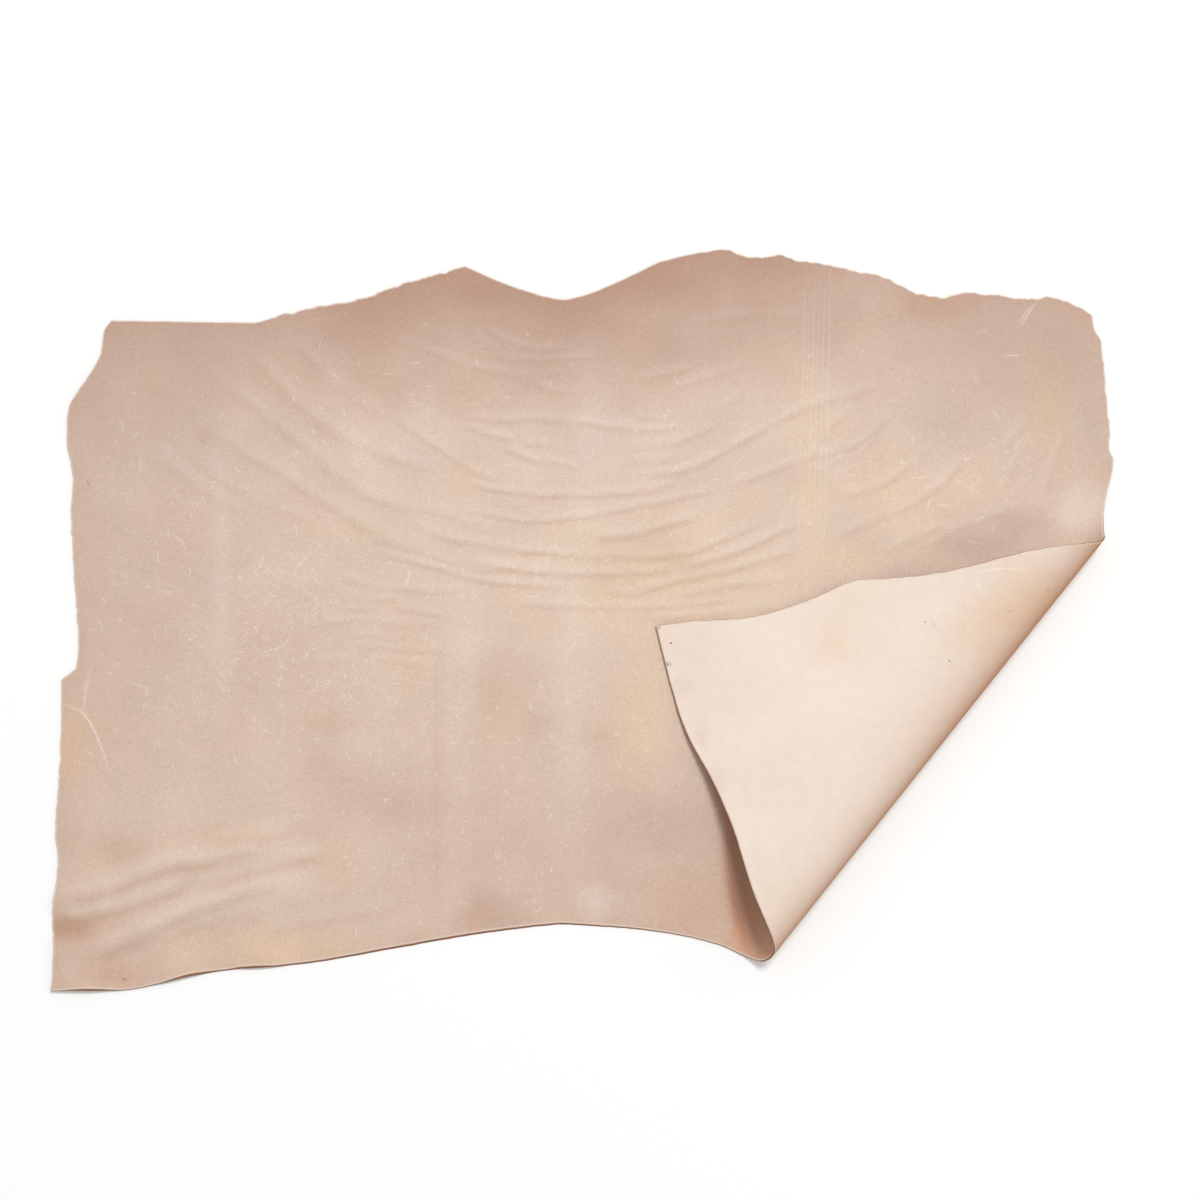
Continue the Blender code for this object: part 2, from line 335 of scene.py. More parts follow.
# Broad soft tones in the grain. Their rims wander in waves, which are wider on a wider tone.
TONE_WANDER = 0.2
TONE_WAVE_SHARE = 0.6
LEAST_TONE_WAVE = 20
TONE_SEED = 200
GRAIN_TONES = (
    # colour, strength, middle, reach along x, reach along y
    ("#DFC8B8", 0.85, (70, 60), 600, 300),
    ("#C9B1A2", 0.9, (-610, 300), 330, 330),
    ("#CDB3A4", 0.7, (-610, -30), 240, 400),
    ("#CDB19E", 0.35, (-390, -90), 160, 150),
    ("#CFB3A2", 0.75, (30, -320), 460, 170),
    ("#D8BFB0", 0.5, (20, 300), 240, 110),
    ("#C7AE9F", 0.8, (570, 330), 240, 230),
    ("#E2C6A6", 0.75, (90, 45), 290, 120),
    ("#E0C3A5", 0.55, (420, 130), 160, 110),
    ("#DDC0A4", 0.5, (-166, 168), 32, 48),
    ("#E0C5A5", 0.65, (290, 180), 34, 230),
    ("#E0C4A6", 0.45, (332, 237), 50, 50),
    ("#DBC2A2", 0.35, (-290, 95), 60, 32),
    ("#D3B48F", 0.55, (612, 265), 48, 150),
    ("#BFAC9B", 0.6, (664, 245), 26, 70),
    ("#C59B7C", 0.55, (460, 412), 95, 48),
    ("#A9775C", 0.5, (-150, 432), 45, 40),
    ("#AE7D62", 0.4, (110, 442), 120, 46),
    ("#E0C3A3", 0.65, (70, -130), 80, 160),
    ("#DCC0A2", 0.5, (-228, -80), 52, 64),
    ("#CDAC90", 0.5, (-115, -120), 84, 80),
    ("#C3A490", 0.45, (-66, -158), 40, 36),
    ("#BF9F92", 0.3, (-220, -265), 84, 44),
    ("#C3A497", 0.5, (90, -285), 125, 66),
    ("#C7A28D", 0.3, (15, -170), 50, 26),
    ("#E0C2A3", 0.75, (-390, -440), 190, 46),
    ("#C7A48F", 0.7, (-130, -395), 60, 46),
    ("#CBA384", 0.5, (150, -385), 130, 80),
    ("#C9A68F", 0.6, (-620, -415), 100, 70),
    ("#B38465", 0.7, (-652, -413), 66, 24),
    ("#D8B594", 0.4, (-450, -298), 74, 26),
    ("#CDA98E", 0.3, (-335, -155), 74, 22),
    ("#E4CFC1", 0.8, (10, -380), 40, 36),
    ("#DBB690", 0.6, (-660, -190), 28, 76),
    ("#B78F7C", 0.25, (-508, 228), 26, 22),
    ("#C0977A", 0.6, (-590, -470), 60, 26),
    # Painted shade: the next two lie in the shallow hollow in front of where the hide rises into the
    # fold's far end.
    ("#C2A497", 0.5, (500, 80), 90, 30),
    ("#C2A497", 0.5, (570, 108), 70, 30),
    # Painted highlight where the hide rises into the fold's far end and faces the light.
    ("#E6D6CA", 0.8, (655, 130), 60, 44),
    ("#C09F8C", 0.5, (150, 342), 140, 90),
    ("#C09F8C", 0.4, (335, 385), 110, 60),
    ("#C8AC9A", 0.4, (-140, 285), 100, 64),
    ("#CAAE92", 0.35, (70, 60), 120, 60),
    ("#C6A892", 0.4, (-310, -235), 110, 70),
    ("#E6CFBB", 0.45, (-370, -352), 80, 36),
    ("#E4D0C2", 0.4, (-448, 250), 60, 56),
    ("#E8C59C", 0.4, (345, 62), 90, 46),
    ("#BC9379", 0.35, (-590, -315), 64, 36),
)

# Long soft bands, where the hide was rolled and rested, and the painted shadow of the flap's left
# edge on the hide beside it.
BANDS_AND_FLAP_SHADOW = (
    # colour, strength, half width, points
    (PALE_GRAIN_AND_HIGHLIGHT, 0.14, 13.0, ((-485, 221), (-477, 40), (-468, -164))),
    (PALE_GRAIN_AND_HIGHLIGHT, 0.09, 18.0, ((-158, 19), (-155, -177))),
    (PALE_GRAIN_AND_HIGHLIGHT, 0.14, 22.0, ((-1, 360), (-5, 166), (-17, 5), (-21, -177), (-20, -378))),
    (PALE_GRAIN_AND_HIGHLIGHT, 0.12, 16.0, ((-350, 330), (-300, 200), (-200, 105))),
    ("#BFA08C", 0.18, 9.0, ((-190, -60), (-192, -230), (-191, -390))),
    ("#BFA08C", 0.12, 12.0, ((-137, -60), (-136, -240), (-136, -378))),
    # The last three are painted shadow, reddish brown, cast by the flap's raised left edge on the
    # hide beside and under it.
    ("#C58A68", 0.70, 7.0, ((100, -30), (143, -183), (170, -253), (190, -316), (206, -390))),
    ("#B0714F", 0.60, 9.0, ((165, -230), (183, -316), (196, -372), (210, -430), (222, -470))),
    ("#B0714F", 0.75, 7.5, ((172, -300), (181, -368), (191, -415), (204, -460))),
)

# Fine lines in the grain: roller marks, the step where two passes of the roller meet, a forked
# scar by the left edge, and the longest of the pale scratches.
GRAIN_LINES = (
    # colour, strength, half width, points
    (PALE_GRAIN_AND_HIGHLIGHT, 0.18, 0.9, ((293, 468), (282, 235), (271, 8))),
    (PALE_GRAIN_AND_HIGHLIGHT, 0.12, 0.8, ((299, 468), (288, 235), (277, 8))),
    (PALE_GRAIN_AND_HIGHLIGHT, 0.22, 0.9, ((306, 462), (294, 235), (283, 8))),
    (PALE_GRAIN_AND_HIGHLIGHT, 0.12, 0.8, ((312, 462), (301, 235), (289, 12))),
    (PALE_GRAIN_AND_HIGHLIGHT, 0.17, 0.9, ((319, 460), (308, 235), (297, 19))),
    (PALE_GRAIN_AND_HIGHLIGHT, 0.22, 0.9, ((326, 458), (316, 235), (305, 25))),
    ("#B89379", 0.14, 1.2, ((-197, -60), (-194, -200), (-192, -390))),
    (PALE_GRAIN_AND_HIGHLIGHT, 0.35, 1.8, ((-640, -84), (-645, -108), (-647, -140))),
    (PALE_GRAIN_AND_HIGHLIGHT, 0.50, 1.5, ((-674, -130), (-647, -143), (-628, -172), (-609, -216))),
    (PALE_GRAIN_AND_HIGHLIGHT, 0.60, 0.6, ((-544, 92), (-534, 85), (-528, 77), (-526, 71))),
    (PALE_GRAIN_AND_HIGHLIGHT, 0.55, 0.6, ((-431, -73), (-415, -62), (-393, -54), (-385, -34))),
    (PALE_GRAIN_AND_HIGHLIGHT, 0.60, 0.6, ((-424, 68), (-428, 49), (-432, 59))),
    (PALE_GRAIN_AND_HIGHLIGHT, 0.55, 0.6, ((-386, 33), (-379, 49), (-363, 67))),
    (PALE_GRAIN_AND_HIGHLIGHT, 0.50, 0.6, ((-423, 31), (-412, 27), (-402, 20))),
    (PALE_GRAIN_AND_HIGHLIGHT, 0.50, 0.6, ((-522, 141), (-525, 134))),
    (PALE_GRAIN_AND_HIGHLIGHT, 0.50, 0.6, ((-522, 124), (-521, 116))),
    (PALE_GRAIN_AND_HIGHLIGHT, 0.50, 0.6, ((-459, 115), (-453, 123))),
    (PALE_GRAIN_AND_HIGHLIGHT, 0.50, 0.6, ((-637, -17), (-628, -34))),
    (PALE_GRAIN_AND_HIGHLIGHT, 0.55, 0.6, ((-589, -101), (-563, -112))),
    (PALE_GRAIN_AND_HIGHLIGHT, 0.50, 0.6, ((-358, -17), (-349, -9))),
    (PALE_GRAIN_AND_HIGHLIGHT, 0.32, 0.7, ((-598, 211), (-592, 199), (-594, 176), (-605, 173))),
    (PALE_GRAIN_AND_HIGHLIGHT, 0.32, 0.7, ((-595, 168), (-582, 157))),
    (PALE_GRAIN_AND_HIGHLIGHT, 0.28, 0.7, ((-581, 88), (-566, 92), (-546, 91))),
    (PALE_GRAIN_AND_HIGHLIGHT, 0.28, 0.7, ((-568, 49), (-561, 40), (-559, 28))),
    (PALE_GRAIN_AND_HIGHLIGHT, 0.28, 0.7, ((-633, 60), (-621, 44), (-605, 40))),
    (PALE_GRAIN_AND_HIGHLIGHT, 0.85, 0.8, ((-235, 47), (-234, 35), (-239, 24))),
    (PALE_GRAIN_AND_HIGHLIGHT, 0.50, 0.6, ((-141, 21), (-127, 25))),
    (PALE_GRAIN_AND_HIGHLIGHT, 0.65, 0.7, ((-72, -128), (-75, -133), (-70, -140))),
    (PALE_GRAIN_AND_HIGHLIGHT, 0.50, 0.6, ((-177, -134), (-161, -138))),
    (PALE_GRAIN_AND_HIGHLIGHT, 0.50, 0.6, ((-310, -193), (-302, -204))),
    (PALE_GRAIN_AND_HIGHLIGHT, 0.55, 0.9, ((601, 412), (587, 392), (581, 380))),
    (PALE_GRAIN_AND_HIGHLIGHT, 0.45, 0.9, ((596, 409), (586, 398), (576, 380))),
    (PALE_GRAIN_AND_HIGHLIGHT, 0.55, 0.8, ((557, 338), (575, 339))),
    (PALE_GRAIN_AND_HIGHLIGHT, 0.55, 0.8, ((536, 265), (545, 246))),
    (PALE_GRAIN_AND_HIGHLIGHT, 0.50, 0.8, ((432, 169), (444, 170))),
    (PALE_GRAIN_AND_HIGHLIGHT, 0.60, 0.9, ((457, 131), (476, 130))),
    (PALE_GRAIN_AND_HIGHLIGHT, 0.55, 0.9, ((450, 143), (446, 134), (444, 126))),
    (PALE_GRAIN_AND_HIGHLIGHT, 0.55, 0.8, ((509, 110), (520, 119))),
    (PALE_GRAIN_AND_HIGHLIGHT, 0.55, 0.8, ((492, 83), (509, 81))),
    ("#8F6A5A", 0.70, 0.9, ((-660, 166), (-657, 158))),
)

# Places where short pale scratches lie thick.
SCRATCHED = (
    # middle, reach along x, reach along y, how many
    ((-360, 20), 120, 120, 120),
    ((-300, -100), 130, 110, 90),
    ((-540, 40), 150, 220, 110),
    ((-90, 60), 180, 120, 90),
    ((-60, -190), 240, 160, 110),
    ((430, 200), 200, 150, 110),
    ((150, 180), 180, 140, 60),
    ((-220, -330), 300, 110, 90),
    ((-330, 270), 240, 130, 60),
    ((-440, -120), 180, 110, 90),
)
SCRATCH_LENGTHS = (3.0, 12.0)
SCRATCH_STRENGTHS = (0.25, 0.75)
SCRATCH_HALF_WIDTH = 0.55
SCRATCH_BEND = 0.5
SCRATCH_SEED = 17

# Small marks: a rusty stain's dark dot by the near left corner.
GRAIN_SPOTS = (
    # colour, strength, middle, radius
    ("#7E5A48", 0.6, (-576, -475), 1.2),
)

# Marks on the flesh side of the turned corner.
FLESH_TONES = (
    # colour, strength, middle, reach along x, reach along y
    ("#EAD7C8", 0.8, (640, -500), 120, 90),
    ("#E2CBBE", 0.6, (601, -508), 26, 22),
    ("#E2CBBE", 0.6, (538, -498), 34, 16),
    ("#E2CBBE", 0.5, (474, -488), 36, 18),
    ("#F0CFB4", 0.6, (612, -314), 48, 42),
    ("#EBD2B9", 0.7, (600, -110), 70, 110),
    ("#EBD6C6", 0.6, (665, -110), 30, 90),
    ("#E5C7A8", 0.6, (628, -62), 58, 84),
    ("#F2E4D7", 0.5, (540, -330), 110, 110),
)
FLESH_LINES = (
    # colour, strength, half width, points
    ("#C7A78D", 0.5, 0.7, ((625, -184), (616, -181), (606, -181))),
    ("#FFF8EE", 0.6, 0.9, ((656, -117), (652, -115), (648, -113))),
    ("#FFF4E8", 0.35, 1.3, ((672, -118), (669, -82), (658, -48))),
    ("#94705B", 0.6, 0.7, ((632, -34), (628, -28))),
)
FLESH_SPOTS = (
    # colour, strength, middle, radius
    ("#8A2F22", 0.8, (661, -514), 1.1),
    ("#5A4742", 0.8, (635, -525.5), 2.0),
    ("#8A7B74", 0.35, (634, -521), 2.2),
    ("#5B4A46", 0.6, (683, -526), 1.4),
    ("#86584A", 0.6, (612, -85), 0.7),
    ("#7C6656", 0.6, (621, -191), 0.9),
    ("#8A7262", 0.6, (564, -174), 1.0),
    ("#9A8674", 0.4, (632, -139), 0.7),
    ("#8A5A48", 0.4, (647, -21), 0.7),
    ("#93705C", 0.3, (609, -130), 0.5),
    ("#93705C", 0.3, (580, -118), 0.6),
)

# The brown pores in the flap: where they lie, how many there are, and how dark and wide.
PORED = ((610, -130), 60, 90, 150)
PORE_BROWN = "#B59479"
PORE_STRENGTHS = (0.15, 0.45)
PORE_RADII = (0.4, 0.7)
PORE_SEED = 23

# Each pattern in the leather: the width of a patch in millimetres, how many finer layers it has
# and how strong those are. Real hair pores and nap are a tenth or two of a millimetre, too fine
# to show, so both are drawn coarser.
CLOUDS = (70.0, 5.0, 0.5)
MOTTLE = (8.0, 6.0, 0.65)
PORES = (2.4, 4.0, 0.5)
FLECKS = (3.2, 1.0, 0.5)
FLESH_MOTTLE = (16.0, 6.0, 0.6)
NAP = (0.9, 3.0, 0.5)
FIBRES = (2.0, 5.0, 0.5)

# How dark and how light each pattern makes the leather. The flecks show only at its peaks.
CLOUD_TONES = (0.915, 1.055)
MOTTLE_TONES = (0.88, 1.12)
PORE_TONES = (0.80, 1.20)
FLECK_TONES = (1.0, 1.16)
FLECK_PEAKS = (0.64, 0.74)
FLESH_MOTTLE_TONES = (0.93, 1.07)
NAP_TONES = (0.84, 1.16)
FIBRE_TONES = (0.8, 1.15)

# How deep a pattern's relief is, and how much of it the light shows.
PORE_RELIEF = (0.3, 0.5)
NAP_RELIEF = (0.3, 0.5)
FIBRE_RELIEF = (0.5, 0.6)
PORES_IN_RELIEF = 0.5

# How matt each face is: the grain has a trace of wax, the nap and the cut fibres have none.
GRAIN_ROUGHNESS = 0.62
FLESH_ROUGHNESS = 0.85
EDGE_ROUGHNESS = 0.8
FLOOR_ROUGHNESS = 0.9
FLOOR_SHINE = 0.1

# The photo's view, in which one of its pixels is 1.3 mm on the hide.
CAMERA_AIM = (15.0, 6.0, 0.0)
CAMERA_DISTANCE = 2166.7
CAMERA_ELEVATION = math.radians(79.0)
CAMERA_LENS = 50.0
CAMERA_SENSOR = 36.0

# The floor lies a hair under the hide and runs out of sight.
FLOOR_REACH = 60000.0
FLOOR_DROP = 0.2

# The key lamp stands beyond the far edge, to the right. Its sizes are in metres.
ROOM_LIGHT = 0.575
LAMP_WIDTH = 4.8
LAMP_POWER = 1045.0
LAMP_DISTANCE = 14.0
LAMP_ELEVATION = math.radians(61.0)
LAMP_BEARING = math.radians(32.0)


def linear(colour):
    """Linear red, green and blue of a colour written as sRGB hex."""
    shares = [int(colour[place:place + 2], 16) / 255 for place in (1, 3, 5)]
    return tuple(
        share / 12.92 if share <= 0.04045 else ((share + 0.055) / 1.055) ** 2.4
        for share in shares)


def curve_through(points, spacing):
    """Points of a smooth curve through the given ones, about one spacing apart."""
    knots = np.array(points, float)
    padded = np.vstack([2 * knots[0] - knots[1], knots, 2 * knots[-1] - knots[-2]])
    curve = []
    for before, start, end, after in zip(padded, padded[1:], padded[2:], padded[3:]):
        chord = np.linalg.norm(end - start)
        slope_in = (end - before) * chord / (chord + np.linalg.norm(start - before))
        slope_out = (after - start) * chord / (chord + np.linalg.norm(after - end))
        for u in np.arange(0, 1, 1 / max(1, round(chord / spacing))):
            curve.append(
                (2 * u**3 - 3 * u**2 + 1) * start + (u**3 - 2 * u**2 + u) * slope_in
                + (3 * u**2 - 2 * u**3) * end + (u**3 - u**2) * slope_out)
    return curve


def unevenness(places, wave, seed):
    """Smooth random values from about -1 to 1 over the hide, with swells one wave across."""
    rng = np.random.default_rng(seed)
    total = np.zeros(len(places))
    for _ in range(WAVES):
        heading = rng.uniform(0, 2 * math.pi)
        pitch = 2 * math.pi / (wave * rng.uniform(*WAVE_SHARES))
        ahead = places @ np.array([math.cos(heading), math.sin(heading)])
        total += np.sin(ahead * pitch + rng.uniform(0, 2 * math.pi))
    return total / WAVE_SUM


def corners_of(stretches):
    """The points that stretches of the cut edge run through, each of them once."""
    start = stretches[0][2][0]
    return [start] + [point for _, _, points in stretches for point in points[1:]]


def cut_edge():
    """The whole cut edge as a closed ring of points, ragged where the hide was left untrimmed."""
    ring = []
    roughness = []
    for _, ragged, points in EDGE_STRETCHES:
        stretch = curve_through(points, EDGE_SPACING)
        ring.extend(stretch)
        share = np.linspace(0, 1, len(stretch))
        roughness.extend(ragged * np.minimum(1, RAGGED_RISE * np.minimum(share, 1 - share)))
    ring = np.array(ring)
    inward = edge_inward(ring)
    nicks = unevenness(ring, NICK_WIDTH, NICK_SEED)
    bites = unevenness(ring, BITE_WIDTH, BITE_SEED) + NICK_SHARE * nicks
    return ring + inward * (np.array(roughness) * (MEAN_BITE + BITE_SWING * bites))[:, None]


def edge_inward(ring):
    """Unit directions into the hide, square to its cut edge."""
    ahead = np.roll(ring, -1, axis=0) - np.roll(ring, 1, axis=0)
    ahead /= np.linalg.norm(ahead, axis=1)[:, None]
    return np.column_stack([ahead[:, 1], -ahead[:, 0]])


def fold_section():
    """Distance along the sheet, distance across the floor and height, from where it leaves it."""
    slope = math.radians(sum(turn for _, turn in NOSE_ARCS) - 180)
    landing_drop = LANDING_LENGTH * (1 - math.cos(slope)) / slope
    bends = []
    for length, turn in NOSE_ARCS:
        bends += [math.radians(turn) / length] * round(length / SECTION_STEP)
    nose_height = np.sum(np.sin(np.cumsum(bends) * SECTION_STEP)) * SECTION_STEP
    glide = (nose_height - landing_drop - THICKNESS - LAYER_GAP) / math.sin(slope)
    bends += [0.0] * round(glide / SECTION_STEP)
    bends += [-slope / LANDING_LENGTH] * round(LANDING_LENGTH / SECTION_STEP)
    angle = np.cumsum(bends) * SECTION_STEP
    across = np.concatenate([[0], np.cumsum(np.cos(angle)) * SECTION_STEP])
    height = np.concatenate([[0], np.cumsum(np.sin(angle)) * SECTION_STEP])
    along = np.arange(len(across)) * SECTION_STEP
    return along, across, height


ALONG, ACROSS, HEIGHT = fold_section()
NOSE_REACH = ACROSS.max()
ALONG_NOSE = np.array([math.cos(NOSE_DIRECTION), math.sin(NOSE_DIRECTION)])
OUT_OF_NOSE = np.array([math.sin(NOSE_DIRECTION), -math.cos(NOSE_DIRECTION)])


def fold_places(flat):
    """How far points of the flat hide lie along the nose, and past the line where it lifts."""
    offset = flat - np.array(NOSE_NEAR_END)
    return offset @ ALONG_NOSE, offset @ OUT_OF_NOSE + NOSE_REACH


def smooth_step(values):
    """Values from 0 to 1 with a soft start and end, and level beyond."""
    clipped = np.clip(values, 0, 1)
    return clipped * clipped * (3 - 2 * clipped)


def beside_line(flat, line):
    """How far points lie from a bent line, to its left as positive, and how far along, 0 to 1."""
    line = np.array(line, float)
    lengths = np.linalg.norm(np.diff(line, axis=0), axis=1)
    passed = np.concatenate([[0], np.cumsum(lengths)])
    aside = np.full(len(flat), np.inf)
    along = np.zeros(len(flat))
    for start, end, length, before in zip(line, line[1:], lengths, passed):
        ahead = (end - start) / length
        offset = flat - start
        run = np.clip(offset @ ahead, 0, length)
        gap = offset - run[:, None] * ahead
        distance = np.linalg.norm(gap, axis=1)
        closer = distance < np.abs(aside)
        left = np.where(ahead[0] * gap[:, 1] - ahead[1] * gap[:, 0] < 0, -1, 1)
        aside = np.where(closer, distance * left, aside)
        along = np.where(closer, (before + run) / passed[-1], along)
    return aside, along


def near_box(flat, line, reach):
    """Which points lie within reach of the box round a line."""
    line = np.array(line, float)
    inside = (flat > line.min(0) - reach) & (flat < line.max(0) + reach)
    return np.flatnonzero(inside.all(axis=1))


def relief(flat):
    """Height of the low folds and lifted margins over the floor."""
    rise = np.zeros(len(flat))
    for crest, height, reach in RIDGES:
        aside, along = beside_line(flat, crest)
        length = np.linalg.norm(np.diff(np.array(crest, float), axis=0), axis=1).sum()
        fade = smooth_step((1 - along) * length / RIDGE_FADE)
        rise = rise + height * (1 - smooth_step(np.abs(aside) / reach)) * fade
    for middle, height, radius in LIFTS:
        distance = np.linalg.norm(flat - np.array(middle), axis=1)
        rise = rise + height * (1 - smooth_step(distance / radius))
    _, past_lift = fold_places(flat)
    return rise * smooth_step(-past_lift / RIDGE_FADE)


def lay_down(flat):
    """Where points of the flat hide lie once the corner is turned over, on its middle surface."""
    along, past_lift = fold_places(flat)
    beyond = np.maximum(past_lift - ALONG[-1], 0)
    across = np.interp(past_lift, ALONG, ACROSS) - beyond
    across = np.where(past_lift < 0, past_lift, across) - NOSE_REACH
    height = np.interp(past_lift, ALONG, HEIGHT) + THICKNESS / 2 + relief(flat)
    ground = np.array(NOSE_NEAR_END) + np.outer(along, ALONG_NOSE) + np.outer(across, OUT_OF_NOSE)
    return np.column_stack([ground, height])


def laid_surface(flat, off_middle):
    """Where points lie that stand off the sheet's middle, on the side of the grain if positive."""
    step = 1.0
    along_x = lay_down(flat + (step, 0)) - lay_down(flat - (step, 0))
    along_y = lay_down(flat + (0, step)) - lay_down(flat - (0, step))
    facing = np.cross(along_x, along_y)
    facing /= np.linalg.norm(facing, axis=1)[:, None]
    return lay_down(flat) + facing * np.reshape(off_middle, (-1, 1))


def wrinkle_lines():
    """Each wrinkle's depth, half width and curve."""
    return [
        (depth, half_width,
         np.array(curve_through(points, WRINKLE_CELL) + [np.array(points[-1], float)]))
        for _, half_width, troughs in WRINKLES for depth, points in troughs]


def wrinkle_relief(flat):
    """Height of the growth wrinkles, and the shares of trough and swell at each point, 0 to 1."""
    height = np.zeros(len(flat))
    trough_share = np.zeros(len(flat))
    swell_share = np.zeros(len(flat))
    for number, (depth, half_width, line) in enumerate(wrinkle_lines()):
        near = near_box(flat, line, 4 * half_width)
        aside, along = beside_line(flat[near], line)
        aside = aside + WRINKLE_WANDER * unevenness(flat[near], WANDER_WIDTH, number)
        ends = smooth_step(along / WRINKLE_FADE) * smooth_step((1 - along) / WRINKLE_FADE)
        uneven = unevenness(flat[near], UNEVENNESS_WIDTH, UNEVENNESS_SEED + number)
        strength = ends * (WRINKLE_STRENGTH + WRINKLE_UNEVENNESS * uneven)
        trough = np.exp(-(aside / half_width) ** 2) * strength
        off_swell = (aside - SWELL_OFFSET * half_width) / (SWELL_WIDTH * half_width)
        swell = np.exp(-off_swell ** 2) * strength
        height[near] += WRINKLE_RELIEF * depth * (SWELL_HEIGHT * swell - trough)
        trough_share[near] = np.maximum(trough_share[near], trough * depth)
        swell_share[near] = np.maximum(swell_share[near], swell * depth)
    return height, trough_share, swell_share


def scratches():
    """Short pale scratches at random places and angles, thick where the hide is most marked."""
    rng = np.random.default_rng(SCRATCH_SEED)
    lines = []
    for middle, reach_x, reach_y, count in SCRATCHED:
        for _ in range(count):
            start = np.array(middle) + rng.normal(0, 0.5, 2) * (reach_x, reach_y)
            heading = rng.uniform(0, 2 * math.pi)
            bend = rng.normal(0, SCRATCH_BEND)
            length = rng.uniform(*SCRATCH_LENGTHS)
            halfway = start + length / 2 * np.array([math.cos(heading), math.sin(heading)])
            end = halfway + length / 2 * np.array([
                math.cos(heading + bend), math.sin(heading + bend)])
            strength = rng.uniform(*SCRATCH_STRENGTHS)
            lines.append((PALE_GRAIN_AND_HIGHLIGHT, strength, SCRATCH_HALF_WIDTH, (start, halfway, end)))
    return lines


def pores():
    """Fine dark pores in the flesh side, where it was brushed least."""
    rng = np.random.default_rng(PORE_SEED)
    middle, reach_x, reach_y, count = PORED
    places = np.array(middle) + rng.normal(0, 0.5, (count, 2)) * (reach_x, reach_y)
    return [
        (PORE_BROWN, rng.uniform(*PORE_STRENGTHS), place, rng.uniform(*PORE_RADII))
        for place in places]


def rows_beside(line, offsets):
    """Rows of points beside a curve, at these distances to its left."""
    ahead = np.gradient(line, axis=0)
    ahead /= np.linalg.norm(ahead, axis=1)[:, None]
    left = np.column_stack([-ahead[:, 1], ahead[:, 0]])
    return np.vstack([line + left * offset for offset in offsets])


def points_by_marks(lines, spots):
    """Rows of points along fine lines and rings of points round small spots, to hold their edges."""
    found = []
    for _, _, half_width, points in lines:
        line = np.array(curve_through(points, LINE_CELL) + [np.array(points[-1], float)])
        found.append(rows_beside(line, np.array(ROWS_ACROSS_A_LINE) * half_width))
    for _, _, middle, radius in spots:
        for share, count in SPOT_RINGS:
            turns = np.arange(count) * 2 * math.pi / count
            circle = np.column_stack([np.cos(turns), np.sin(turns)])
            found.append(np.array(middle) + circle * share * radius)
    return one_a_cell(np.vstack(found), SMALLEST_CELL)


def points_by_wrinkles():
    """Rows of points along the wrinkles, closer than the lattice, to hold their troughs."""
    found = [
        rows_beside(line, -np.array(ROWS_ACROSS_A_WRINKLE) * half_width)
        for _, half_width, line in wrinkle_lines()]
    return one_a_cell(np.vstack(found), WRINKLE_CELL / 2.5)


def one_a_cell(points, cell):
    """The points with all but the first in each small cell left out."""
    _, first = np.unique(np.round(points / cell).astype(int), axis=0, return_index=True)
    return points[np.sort(first)]


def lattice(cell):
    """Points of a triangular lattice that covers the flat hide."""
    low, high = np.min(cut_edge(), axis=0), np.max(cut_edge(), axis=0)
    columns = np.arange(math.floor(low[0] / cell), math.ceil(high[0] / cell) + 1)
    rows = np.arange(
        math.floor(low[1] / cell / LATTICE_ROW), math.ceil(high[1] / cell / LATTICE_ROW) + 1)
    column, row = (grid.ravel() for grid in np.meshgrid(columns, rows))
    return np.column_stack([(column + 0.5 * (row % 2)) * cell, row * LATTICE_ROW * cell])


def inside_ring(points, ring):
    """Which points lie inside a closed ring."""
    inside = np.zeros(len(points), bool)
    for start, end in zip(ring, np.roll(ring, -1, axis=0)):
        if start[1] == end[1]:
            continue
        crosses = (start[1] > points[:, 1]) != (end[1] > points[:, 1])
        at = start[0] + (points[:, 1] - start[1]) / (end[1] - start[1]) * (end[0] - start[0])
        inside ^= crosses & (points[:, 0] < at)
    return inside


def over_nose(points):
    """Which points lie where the fold bends or close by."""
    _, past_lift = fold_places(points)
    return (past_lift > NOSE_CELLS_FROM) & (past_lift < NOSE_CELLS_TO)


def spread_points(marked, cell, nose_cell):
    """The marked points, and a lattice between them that is closer over the nose of the fold."""
    open_lattice = lattice(cell)
    nose_lattice = lattice(nose_cell)
    filling = np.vstack([
        open_lattice[~over_nose(open_lattice)], nose_lattice[over_nose(nose_lattice)]])
    crowded = {tuple(place) for place in np.round(marked / (cell / 2)).astype(int)}
    clear = [tuple(place) not in crowded for place in np.round(filling / (cell / 2)).astype(int)]
    return np.vstack([marked, filling[np.array(clear)]])


def grain_points(lines):
    """Points over the grain side, close together on wrinkles and marks and over the fold."""
    marked = one_a_cell(
        np.vstack([points_by_marks(lines, GRAIN_SPOTS), points_by_wrinkles()]), SMALLEST_CELL)
    return spread_points(marked, GRAIN_CELL, NOSE_CELL)


def flesh_points(spots):
    """Points over the flesh side, even but for the fold and its marks."""
    return spread_points(points_by_marks(FLESH_LINES, spots), FLESH_CELL, NOSE_CELL)


def sheet_triangles(ring, points):
    """A face's points, its ring first, and the triangles that join them."""
    points = points[inside_ring(points, ring)]
    gap = np.full(len(points), np.inf)
    for corner in ring:
        gap = np.minimum(gap, np.abs(points - corner).sum(axis=1))
    points = np.vstack([ring, points[gap > CLEAR_OF_EDGE]])
    joins = [(place, (place + 1) % len(ring)) for place in range(len(ring))]
    made, _, faces, *_ = delaunay_2d_cdt([Vector(p) for p in points], joins, [], 0, 1e-5, False)
    if len(made) != len(points):
        raise RuntimeError("the triangulation changed the points")
    faces = np.array(faces)
    return points, faces[inside_ring(points[faces].mean(axis=1), ring)]


